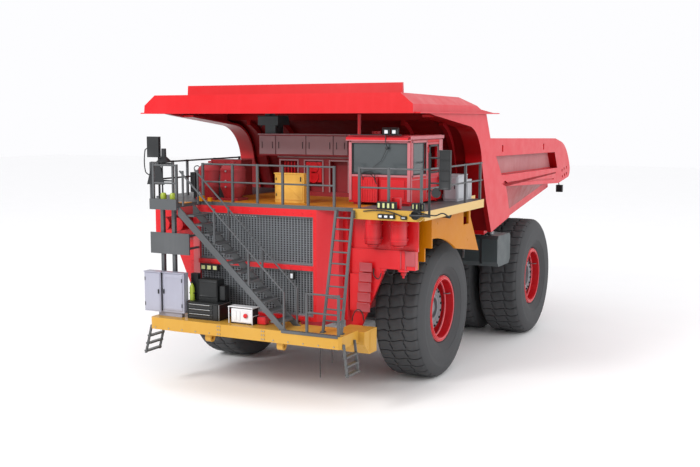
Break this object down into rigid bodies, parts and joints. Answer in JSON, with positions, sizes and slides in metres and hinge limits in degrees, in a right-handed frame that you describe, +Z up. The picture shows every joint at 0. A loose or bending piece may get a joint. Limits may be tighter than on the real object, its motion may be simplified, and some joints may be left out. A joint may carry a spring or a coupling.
{
  "type": "mining dump truck",
  "caption": "Rigid mining dump truck with a canopied tipping body, raised cab and walkways, steered front wheels and twin rear wheels.",
  "frame": {"origin": "on the ground in the centre plane, below the front axle line", "axes": "+X to the driver's left, +Y to the rear, +Z up"},
  "size_m": [9.06, 15.5035, 7.6099],
  "materials": {
    "red_paint": "gloss",
    "yellow_paint": "gloss",
    "grey_paint": "satin",
    "light_grey_paint": "satin",
    "black_paint": "satin",
    "tyre_rubber": "matte",
    "steel": "satin",
    "glass": "gloss",
    "seat_fabric": "matte",
    "dark_plastic": "matte",
    "engine_paint": "satin"
  },
  "bodies": {
    "chassis": {"main_frame": "red_paint", "front_bumper": "yellow_paint", "suspension_cylinders": "grey_paint", "rear_axle": "grey_paint", "power_unit": "engine_paint", "radiator_frame": "red_paint", "radiator_grille": "black_paint", "front_shrouds": "red_paint", "front_fenders": "yellow_paint", "fuel_tank": "grey_paint", "hydraulic_tank": "grey_paint", "main_deck": "grey_paint", "cab_deck": "grey_paint", "deck_supports": "grey_paint", "handrails": "grey_paint", "diagonal_stair": "grey_paint", "front_ladder": "grey_paint", "hanging_steps": "grey_paint", "cab_shell": "red_paint", "cab_roof": "red_paint", "cab_glass": "glass", "driver_seat": "seat_fabric", "steering_console": "dark_plastic", "electrical_cabinets": "red_paint", "yellow_cabinet": "yellow_paint", "air_filters": "red_paint", "exhaust_duct": "red_paint", "retarder_grids": "red_paint", "relay_box": "black_paint", "deck_lockers": "grey_paint", "cabinet_duct": "grey_paint", "control_cabinet": "light_grey_paint", "shield_panel": "grey_paint", "air_tanks": "red_paint", "battery_box": "black_paint", "mirrors": "black_paint"},
    "dump_body": {"body_floor": "red_paint", "body_sides": "red_paint", "body_headboard": "red_paint", "body_canopy": "red_paint"},
    "left_steer": {"left_knuckle": "grey_paint"},
    "right_steer": {"right_knuckle": "grey_paint"},
    "track_rod": {"tie_rod": "grey_paint"},
    "front_left_wheel": {"front_left_tyre": "tyre_rubber", "front_left_rim": "red_paint"},
    "front_right_wheel": {"front_right_tyre": "tyre_rubber", "front_right_rim": "red_paint"},
    "rear_left_wheels": {"rear_left_tyres": "tyre_rubber", "rear_left_rims": "red_paint"},
    "rear_right_wheels": {"rear_right_tyres": "tyre_rubber", "rear_right_rims": "red_paint"},
    "left_door": {"cab_left_door": "red_paint"},
    "right_door": {"cab_right_door": "red_paint"},
    "left_hoist_outer": {"left_hoist_barrel": "grey_paint"},
    "left_hoist_middle": {"left_hoist_tube": "steel"},
    "left_hoist_inner": {"left_hoist_rod": "steel"},
    "right_hoist_outer": {"right_hoist_barrel": "grey_paint"},
    "right_hoist_middle": {"right_hoist_tube": "steel"},
    "right_hoist_inner": {"right_hoist_rod": "steel"}
  },
  "joints": [
    {"name": "body_hoist", "type": "hinge", "parent": "chassis", "child": "dump_body", "pos_m": [0, 7.95, 3.35], "axis": [-1, 0, 0], "range_deg": [0, 45]},
    {"name": "left_steering", "type": "hinge", "parent": "chassis", "child": "left_steer", "pos_m": [1.7, 0, 1.8], "axis": [0, 0, 1], "range_deg": [-35, 35]},
    {"name": "right_steering", "type": "hinge", "parent": "chassis", "child": "right_steer", "pos_m": [-1.7, 0, 1.8], "axis": [0, 0, 1], "range_deg": [-35, 35]},
    {"name": "track_rod_swing", "type": "hinge", "parent": "left_steer", "child": "track_rod", "pos_m": [1.7, 0.8, 1.18], "axis": [0, 0, 1], "range_deg": [-35, 35]},
    {"name": "front_left_roll", "type": "hinge", "parent": "left_steer", "child": "front_left_wheel", "pos_m": [2.826, 0, 1.8], "axis": [1, 0, 0], "continuous": true},
    {"name": "front_right_roll", "type": "hinge", "parent": "right_steer", "child": "front_right_wheel", "pos_m": [-2.826, 0, 1.8], "axis": [1, 0, 0], "continuous": true},
    {"name": "rear_left_roll", "type": "hinge", "parent": "chassis", "child": "rear_left_wheels", "pos_m": [2.57, 6.46, 1.8], "axis": [1, 0, 0], "continuous": true},
    {"name": "rear_right_roll", "type": "hinge", "parent": "chassis", "child": "rear_right_wheels", "pos_m": [-2.57, 6.46, 1.8], "axis": [1, 0, 0], "continuous": true},
    {"name": "left_door_swing", "type": "hinge", "parent": "chassis", "child": "left_door", "pos_m": [3.58, -1.58, 5.4], "axis": [0, 0, -1], "range_deg": [0, 70]},
    {"name": "right_door_swing", "type": "hinge", "parent": "chassis", "child": "right_door", "pos_m": [1.92, -1.58, 5.4], "axis": [0, 0, 1], "range_deg": [0, 70]},
    {"name": "left_hoist_swing", "type": "hinge", "parent": "chassis", "child": "left_hoist_outer", "pos_m": [1.23, 4.1, 1.3], "axis": [-1, 0, 0], "range_deg": [0, 22.56]},
    {"name": "left_hoist_stage_1", "type": "slide", "parent": "left_hoist_outer", "child": "left_hoist_middle", "axis": [0, -0.2216, 0.9751], "range_m": [0, 1.553]},
    {"name": "left_hoist_stage_2", "type": "slide", "parent": "left_hoist_middle", "child": "left_hoist_inner", "axis": [0, -0.2216, 0.9751], "range_m": [0, 1.553]},
    {"name": "right_hoist_swing", "type": "hinge", "parent": "chassis", "child": "right_hoist_outer", "pos_m": [-1.23, 4.1, 1.3], "axis": [-1, 0, 0], "range_deg": [0, 22.56]},
    {"name": "right_hoist_stage_1", "type": "slide", "parent": "right_hoist_outer", "child": "right_hoist_middle", "axis": [0, -0.2216, 0.9751], "range_m": [0, 1.553]},
    {"name": "right_hoist_stage_2", "type": "slide", "parent": "right_hoist_middle", "child": "right_hoist_inner", "axis": [0, -0.2216, 0.9751], "range_m": [0, 1.553]}
  ],
  "couplings": [
    {"joint": "right_steering", "follows": "left_steering", "ratio": 1},
    {"joint": "track_rod_swing", "follows": "left_steering", "ratio": -1},
    {"joint": "left_hoist_swing", "follows": "body_hoist", "ratio": 0.497},
    {"joint": "left_hoist_stage_1", "follows": "body_hoist", "m_per_rad": 1.973},
    {"joint": "left_hoist_stage_2", "follows": "body_hoist", "m_per_rad": 1.973},
    {"joint": "right_hoist_swing", "follows": "body_hoist", "ratio": 0.497},
    {"joint": "right_hoist_stage_1", "follows": "body_hoist", "m_per_rad": 1.973},
    {"joint": "right_hoist_stage_2", "follows": "body_hoist", "m_per_rad": 1.973}
  ]
}
